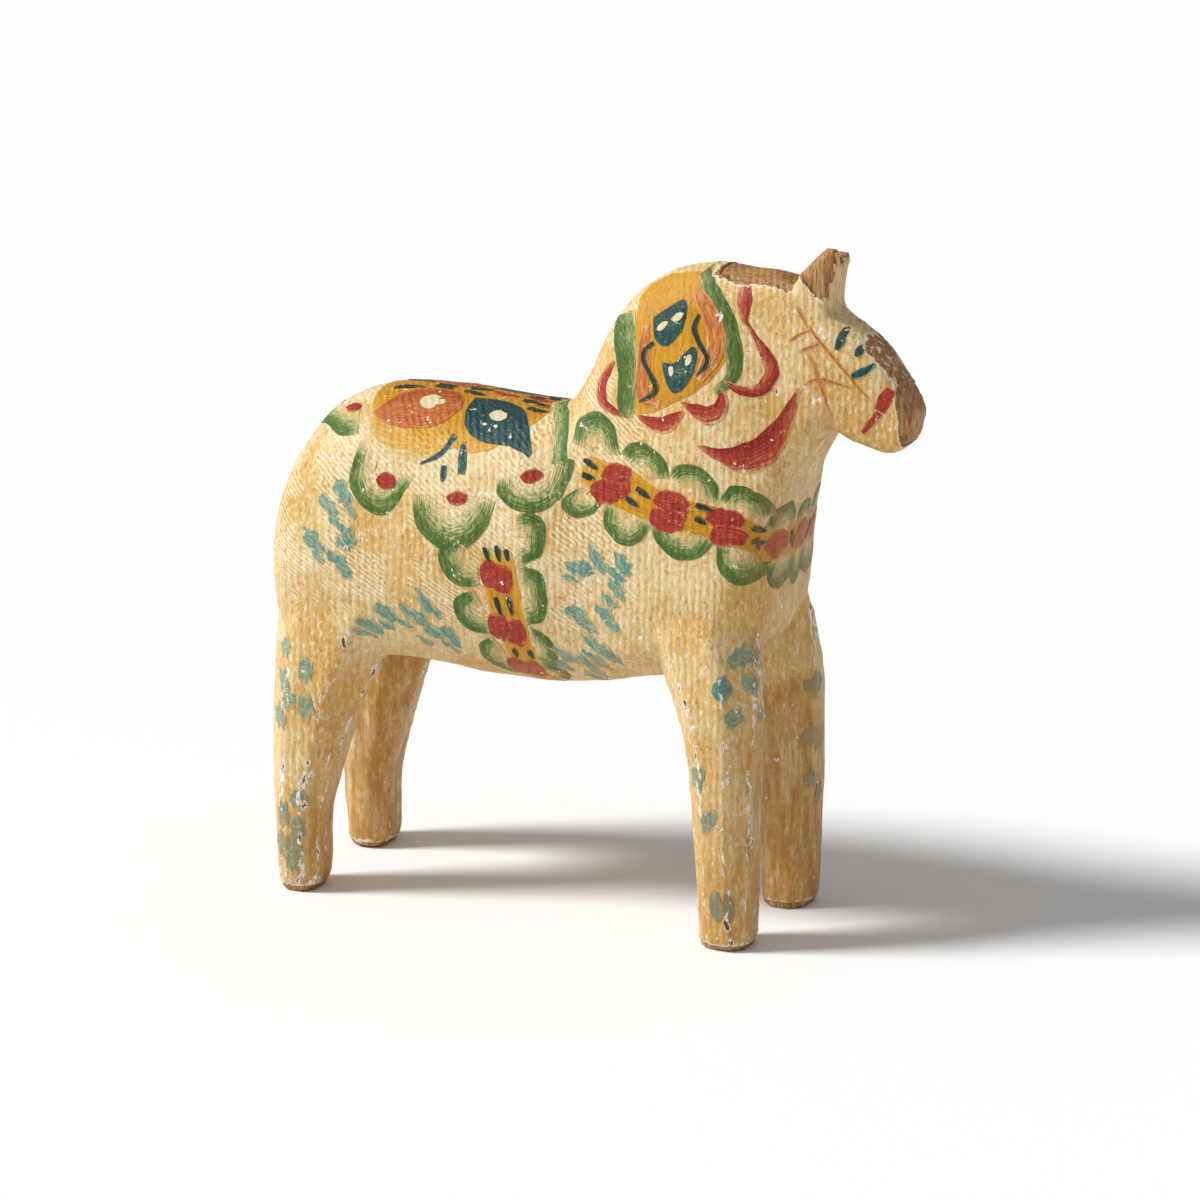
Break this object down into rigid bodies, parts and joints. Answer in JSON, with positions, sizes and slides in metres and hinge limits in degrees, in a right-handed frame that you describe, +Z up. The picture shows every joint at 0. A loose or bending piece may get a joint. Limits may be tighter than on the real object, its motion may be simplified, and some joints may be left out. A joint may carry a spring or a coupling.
{
  "type": "painted wooden horse figurine",
  "caption": "Standing folk-craft horse carved from one block of softwood, with worn cream paint, a painted mane, saddle cloth, girth and breast band.",
  "frame": {"origin": "on the floor, under the middle of the horse's bounding box", "axes": "+X forwards to the nose, +Y to the horse's left, +Z up"},
  "size_m": [0.1707, 0.0584, 0.18],
  "materials": {
    "bare_pine": "worn, unvarnished",
    "cream_paint": "hand-brushed, aged satin",
    "ochre_paint": "hand-brushed, aged satin",
    "green_paint": "hand-brushed, aged satin",
    "red_paint": "hand-brushed, aged satin",
    "orange_paint": "hand-brushed, aged satin",
    "petrol_paint": "hand-brushed, aged satin",
    "black_green_paint": "hand-brushed, aged satin",
    "pale_paint": "hand-brushed, aged satin",
    "turquoise_paint": "hand-brushed, aged satin"
  },
  "bodies": {
    "root": {"carved_pine_block": "bare_pine", "cream_base_coat": "cream_paint", "breast_band": "ochre_paint", "girth_band": "ochre_paint", "saddle_ochre_field": "ochre_paint", "mane_ochre_field": "ochre_paint", "breast_band_scallops": "green_paint", "girth_band_scallops": "green_paint", "saddle_scallops": "green_paint", "mane_green_frame": "green_paint", "breast_band_red_blots": "red_paint", "girth_band_red_blots": "red_paint", "saddle_red_dabs": "red_paint", "neck_red_commas": "red_paint", "mouth_strokes": "red_paint", "bridle_lines": "orange_paint", "saddle_orange_leaves": "orange_paint", "saddle_petrol_drops": "petrol_paint", "mane_petrol_leaves": "petrol_paint", "eye_strokes": "petrol_paint", "saddle_blue_strokes": "petrol_paint", "breast_band_black_ticks": "black_green_paint", "girth_band_black_ticks": "black_green_paint", "saddle_black_ticks": "black_green_paint", "mane_black_curls": "black_green_paint", "saddle_cream_hearts": "pale_paint", "turquoise_dapples": "turquoise_paint"}
  },
  "joints": []
}
